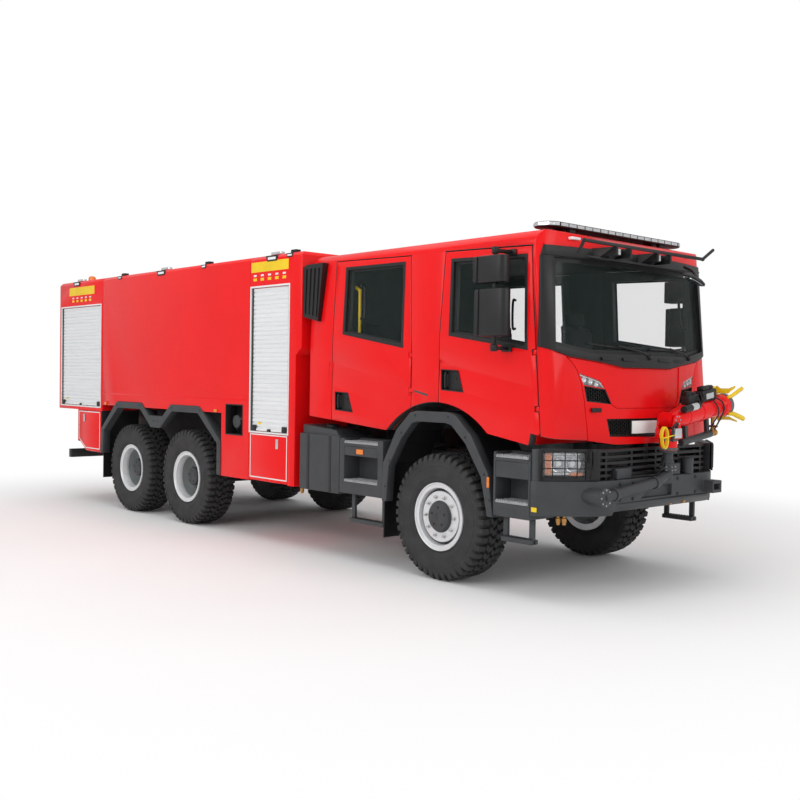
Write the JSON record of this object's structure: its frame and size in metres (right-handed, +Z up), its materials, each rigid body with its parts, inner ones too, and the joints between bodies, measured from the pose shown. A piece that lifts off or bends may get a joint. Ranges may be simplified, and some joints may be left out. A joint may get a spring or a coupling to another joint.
{
  "type": "fire truck",
  "caption": "Cab-over fire truck with a crew cab, block-body lockers under roller shutters, drop-down flaps and a bumper water monitor.",
  "frame": {"origin": "middle of the bounding box at ground level", "axes": "+X forwards, +Y to the truck's left, +Z up"},
  "size_m": [9.6172, 2.89, 3.1962],
  "materials": {
    "tyre_rubber": "matte",
    "wheel_silver": "satin",
    "tinted_glass": "gloss",
    "dark_frame": "satin",
    "engine_metal": "matte",
    "red_paint": "gloss",
    "seat_cloth": "matte",
    "charcoal_trim": "satin",
    "shutter_metal": "satin",
    "tread_metal": "satin",
    "lamp_lens": "gloss",
    "flap_rubber": "matte",
    "black_plastic": "satin"
  },
  "bodies": {
    "truck": {"chassis_frame": "dark_frame", "engine": "engine_metal", "front_axle": "dark_frame", "rear_axles": "dark_frame", "cab_shell": "red_paint", "front_panel": "red_paint", "windscreen": "tinted_glass", "seats": "seat_cloth", "dashboard": "black_plastic", "cowl": "black_plastic", "visor": "black_plastic", "light_bar": "black_plastic", "lamps": "lamp_lens", "bumper": "charcoal_trim", "grille": "black_plastic", "cab_steps": "charcoal_trim", "step_treads": "tread_metal", "arch_flares": "charcoal_trim", "mudflaps": "flap_rubber", "body_front": "red_paint", "body_tank": "red_paint", "body_rear": "red_paint", "shutters": "shutter_metal", "monitor_pipe": "charcoal_trim", "roof_ladder": "tread_metal", "rear_beam": "dark_frame", "air_intake": "black_plastic"},
    "steer_left": {"knuckle_l": "dark_frame"},
    "steer_right": {"knuckle_r": "dark_frame"},
    "wheel_front_left": {"tyre_front_l": "tyre_rubber", "rim_front_l": "wheel_silver"},
    "wheel_mid_left": {"tyre_mid_l": "tyre_rubber", "rim_mid_l": "wheel_silver"},
    "wheel_rear_left": {"tyre_rear_l": "tyre_rubber", "rim_rear_l": "wheel_silver"},
    "front_door_left": {"door_front_l": "red_paint", "glass_front_l": "tinted_glass", "mirror_l": "black_plastic"},
    "rear_door_left": {"door_rear_l": "red_paint", "glass_rear_l": "tinted_glass"},
    "front_flap_left": {"flap_front_l": "red_paint"},
    "rear_flap_left": {"flap_rear_l": "red_paint"},
    "wheel_front_right": {"tyre_front_r": "tyre_rubber", "rim_front_r": "wheel_silver"},
    "wheel_mid_right": {"tyre_mid_r": "tyre_rubber", "rim_mid_r": "wheel_silver"},
    "wheel_rear_right": {"tyre_rear_r": "tyre_rubber", "rim_rear_r": "wheel_silver"},
    "front_door_right": {"door_front_r": "red_paint", "glass_front_r": "tinted_glass", "mirror_r": "black_plastic"},
    "rear_door_right": {"door_rear_r": "red_paint", "glass_rear_r": "tinted_glass"},
    "front_flap_right": {"flap_front_r": "red_paint"},
    "rear_flap_right": {"flap_rear_r": "red_paint"},
    "monitor_head": {"monitor_yoke": "red_paint"},
    "monitor_tube": {"monitor_barrel": "red_paint"}
  },
  "joints": [
    {"name": "steer_left_turn", "type": "hinge", "parent": "truck", "child": "steer_left", "pos_m": [3.09539, 0.86, 0.565], "axis": [0, 0, 1], "range_deg": [-35, 35]},
    {"name": "steer_right_turn", "type": "hinge", "parent": "truck", "child": "steer_right", "pos_m": [3.09539, -0.86, 0.565], "axis": [0, 0, 1], "range_deg": [-35, 35]},
    {"name": "wheel_front_left_spin", "type": "hinge", "parent": "steer_left", "child": "wheel_front_left", "pos_m": [3.09539, 1.043, 0.565], "axis": [0, 1, 0], "continuous": true},
    {"name": "wheel_mid_left_spin", "type": "hinge", "parent": "truck", "child": "wheel_mid_left", "pos_m": [-1.20461, 1.07, 0.565], "axis": [0, 1, 0], "continuous": true},
    {"name": "wheel_rear_left_spin", "type": "hinge", "parent": "truck", "child": "wheel_rear_left", "pos_m": [-2.60461, 1.07, 0.565], "axis": [0, 1, 0], "continuous": true},
    {"name": "front_door_left_swing", "type": "hinge", "parent": "truck", "child": "front_door_left", "pos_m": [4.17539, 1.19276, 1.87], "axis": [0.0872, 0, -0.9962], "range_deg": [0, 70]},
    {"name": "rear_door_left_swing", "type": "hinge", "parent": "truck", "child": "rear_door_left", "pos_m": [2.70539, 1.21, 1.8], "axis": [0, 0, -1], "range_deg": [0, 70]},
    {"name": "front_flap_left_drop", "type": "hinge", "parent": "truck", "child": "front_flap_left", "pos_m": [0.54539, 1.247, 0.67], "axis": [-1, 0, 0], "range_deg": [0, 90]},
    {"name": "rear_flap_left_drop", "type": "hinge", "parent": "truck", "child": "rear_flap_left", "pos_m": [-3.67461, 1.247, 0.73], "axis": [-1, 0, 0], "range_deg": [0, 90]},
    {"name": "wheel_front_right_spin", "type": "hinge", "parent": "steer_right", "child": "wheel_front_right", "pos_m": [3.09539, -1.043, 0.565], "axis": [0, 1, 0], "continuous": true},
    {"name": "wheel_mid_right_spin", "type": "hinge", "parent": "truck", "child": "wheel_mid_right", "pos_m": [-1.20461, -1.07, 0.565], "axis": [0, 1, 0], "continuous": true},
    {"name": "wheel_rear_right_spin", "type": "hinge", "parent": "truck", "child": "wheel_rear_right", "pos_m": [-2.60461, -1.07, 0.565], "axis": [0, 1, 0], "continuous": true},
    {"name": "front_door_right_swing", "type": "hinge", "parent": "truck", "child": "front_door_right", "pos_m": [4.17539, -1.19276, 1.87], "axis": [-0.0872, 0, 0.9962], "range_deg": [0, 70]},
    {"name": "rear_door_right_swing", "type": "hinge", "parent": "truck", "child": "rear_door_right", "pos_m": [2.70539, -1.21, 1.8], "axis": [0, 0, 1], "range_deg": [0, 70]},
    {"name": "front_flap_right_drop", "type": "hinge", "parent": "truck", "child": "front_flap_right", "pos_m": [0.54539, -1.247, 0.67], "axis": [1, 0, 0], "range_deg": [0, 90]},
    {"name": "rear_flap_right_drop", "type": "hinge", "parent": "truck", "child": "rear_flap_right", "pos_m": [-3.67461, -1.247, 0.73], "axis": [1, 0, 0], "range_deg": [0, 90]},
    {"name": "monitor_pan", "type": "hinge", "parent": "truck", "child": "monitor_head", "pos_m": [4.64739, 0, 1.25], "axis": [0, 0, -1], "range_deg": [0, 180]},
    {"name": "monitor_tilt", "type": "hinge", "parent": "monitor_head", "child": "monitor_tube", "pos_m": [4.64739, 0, 1.47], "axis": [1, 0, 0], "range_deg": [-12, 62]}
  ],
  "couplings": [
    {"joint": "steer_right_turn", "follows": "steer_left_turn", "ratio": 1}
  ]
}
